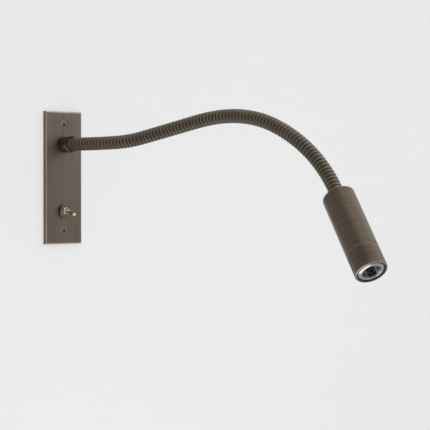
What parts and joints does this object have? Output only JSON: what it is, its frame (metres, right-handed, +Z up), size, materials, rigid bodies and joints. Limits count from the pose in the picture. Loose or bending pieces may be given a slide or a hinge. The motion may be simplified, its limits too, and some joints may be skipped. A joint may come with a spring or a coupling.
{
  "type": "wall reading lamp",
  "caption": "Bedside wall reading lamp: a flat back plate with a toggle switch, a ribbed gooseneck arm and a slim cylindrical head.",
  "frame": {"origin": "middle of the back plate's rear face, on the line through the two wall screws", "axes": "+Y into the wall, -Y out into the room, +Z up"},
  "size_m": [0.0786, 0.3902, 0.1403],
  "materials": {
    "antique_plate": "steel bar, plated antique bronze and brushed lengthways",
    "antique_hose": "steel gooseneck wire, plated antique bronze",
    "antique_turned": "turned aluminium, plated antique bronze, satin",
    "antique_fitting": "turned brass, plated antique bronze",
    "zinc_steel": "zinc plated steel",
    "nickel": "bright nickel plated brass",
    "switch_moulding": "black moulded plastic",
    "lug_silver": "silver plated brass strip",
    "cable_sheath": "black flexible sheath over copper cores",
    "bush_plastic": "natural nylon",
    "sink_aluminium": "plain turned aluminium",
    "board_white": "aluminium board with white solder mask",
    "emitter": "phosphor under a clear silicone dome",
    "holder_black": "black moulded plastic",
    "lens_clear": "clear moulded collimator lens"
  },
  "bodies": {
    "base": {"back_plate": "antique_plate", "fixing_screws": "antique_fitting", "arm_collar": "antique_fitting", "arm_root_nipple": "zinc_steel", "arm_root_washer": "zinc_steel", "arm_root_nut": "zinc_steel", "cable_bush": "bush_plastic", "arm_section_root": "antique_hose", "lamp_cable": "cable_sheath", "switch_bushing": "nickel", "switch_dress_nut": "antique_fitting", "switch_washer": "zinc_steel", "switch_hex_nut": "zinc_steel", "lever_pin": "zinc_steel", "switch_frame": "zinc_steel", "switch_body": "switch_moulding", "switch_terminals": "lug_silver"},
    "arm_01": {"arm_section_01": "antique_hose"},
    "arm_02": {"arm_section_02": "antique_hose"},
    "arm_03": {"arm_section_03": "antique_hose"},
    "arm_04": {"arm_section_04": "antique_hose"},
    "arm_05": {"arm_section_05": "antique_hose"},
    "arm_06": {"arm_section_06": "antique_hose"},
    "arm_07": {"arm_section_07": "antique_hose"},
    "arm_08": {"arm_section_08": "antique_hose"},
    "arm_09": {"arm_section_09": "antique_hose"},
    "arm_10": {"arm_section_10": "antique_hose"},
    "head": {"arm_section_tip": "antique_hose", "head_nipple": "zinc_steel", "head_washer": "zinc_steel", "head_nut": "zinc_steel", "head_body": "antique_turned", "front_ring": "antique_turned", "heat_sink": "sink_aluminium", "led_board": "board_white", "led_emitter": "emitter", "lens_holder": "holder_black", "lens": "lens_clear"},
    "toggle": {"toggle_lever": "nickel"}
  },
  "joints": [
    {"name": "arm_swing_01", "type": "hinge", "parent": "base", "child": "arm_01", "pos_m": [0, -0.02972, 0.03], "axis": [0, 0, 1], "range_deg": [-32, 16], "deforming": ["lamp_cable"]},
    {"name": "arm_bend_02", "type": "hinge", "parent": "arm_01", "child": "arm_02", "pos_m": [0.00393, -0.05769, 0.03], "axis": [-0.9763, -0.2164, 0], "range_deg": [-26.5, 21.5]},
    {"name": "arm_bend_03", "type": "hinge", "parent": "arm_02", "child": "arm_03", "pos_m": [0.01218, -0.08467, 0.03123], "axis": [-0.9511, -0.3088, 0], "range_deg": [-34.5, 13.5]},
    {"name": "arm_swing_04", "type": "hinge", "parent": "arm_03", "child": "arm_04", "pos_m": [0.02114, -0.11068, 0.03758], "axis": [-0.0664, 0.2106, 0.9753], "range_deg": [-21, 26.5]},
    {"name": "arm_bend_05", "type": "hinge", "parent": "arm_04", "child": "arm_05", "pos_m": [0.02874, -0.13719, 0.0437], "axis": [-0.9682, -0.2504, 0], "range_deg": [-23.5, 24.5]},
    {"name": "arm_bend_06", "type": "hinge", "parent": "arm_05", "child": "arm_06", "pos_m": [0.03495, -0.1641, 0.04957], "axis": [-0.98, -0.1991, 0], "range_deg": [-15, 33]},
    {"name": "arm_swing_07", "type": "hinge", "parent": "arm_06", "child": "arm_07", "pos_m": [0.03985, -0.19187, 0.05105], "axis": [0.0082, -0.0517, 0.9986], "range_deg": [-22, 25.5]},
    {"name": "arm_bend_08", "type": "hinge", "parent": "arm_07", "child": "arm_08", "pos_m": [0.04373, -0.21949, 0.04663], "axis": [-0.9914, -0.1308, 0], "range_deg": [-10, 38]},
    {"name": "arm_bend_09", "type": "hinge", "parent": "arm_08", "child": "arm_09", "pos_m": [0.0469, -0.2453, 0.03559], "axis": [-0.9935, -0.1136, 0], "range_deg": [-13.5, 34.5]},
    {"name": "arm_bend_10", "type": "hinge", "parent": "arm_09", "child": "arm_10", "pos_m": [0.04936, -0.26871, 0.02001], "axis": [-0.9971, -0.0766, 0], "range_deg": [-12.5, 35.5]},
    {"name": "arm_swing_11", "type": "hinge", "parent": "arm_10", "child": "head", "pos_m": [0.05023, -0.28867, 0.00004], "axis": [-0.0887, -0.7249, 0.6831], "range_deg": [-10.5, 37]},
    {"name": "toggle_throw", "type": "hinge", "parent": "base", "child": "toggle", "pos_m": [0, -0.0055, -0.03], "axis": [-1, 0, 0], "range_deg": [0, 26]}
  ]
}
